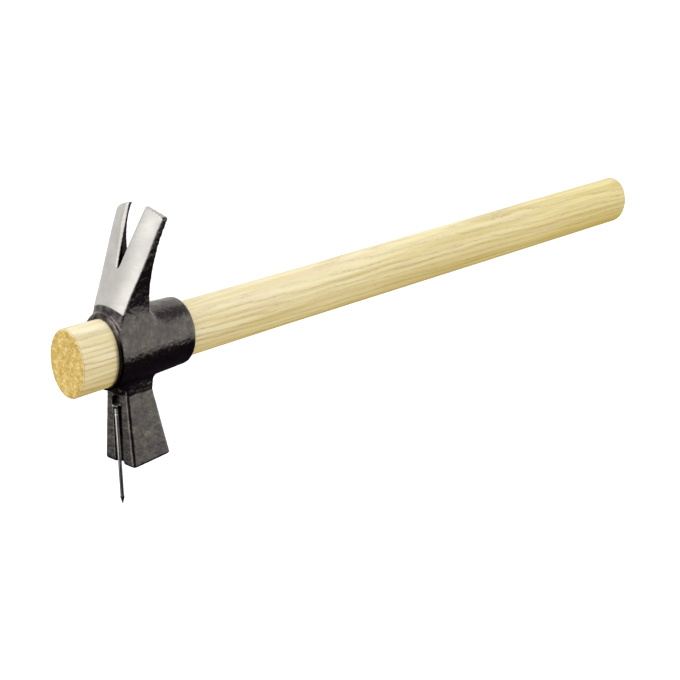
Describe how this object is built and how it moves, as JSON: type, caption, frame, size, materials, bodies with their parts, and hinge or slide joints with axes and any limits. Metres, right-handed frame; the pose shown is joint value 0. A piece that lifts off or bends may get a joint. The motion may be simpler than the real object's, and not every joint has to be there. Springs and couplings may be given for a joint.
{
  "type": "formwork claw hammer",
  "caption": "Formwork claw hammer: black forged head with a V-notched ground claw, oval eye and square grooved poll with a magnetic nail starter, on a tapered oval ash handle.",
  "frame": {"origin": "centre of the square striking face", "axes": "+X runs along the handle towards the grip end, +Z points from the striking face up to the claw, and +Y completes a right-handed frame"},
  "size_m": [0.4, 0.0306, 0.1353],
  "materials": {
    "forged_steel": "black lacquered forging with a ground claw front",
    "ash_wood": "sanded ash, clear lacquered",
    "magnet": "nickel plated",
    "bright_steel": "bright drawn wire"
  },
  "bodies": {
    "hammer": {"head": "forged_steel", "handle": "ash_wood", "magnet": "magnet"},
    "nail": {"nail": "bright_steel"}
  },
  "joints": [
    {"name": "nail_slide", "type": "slide", "parent": "hammer", "child": "nail", "axis": [-1, 0, 0], "range_m": [0, 0.04]}
  ]
}
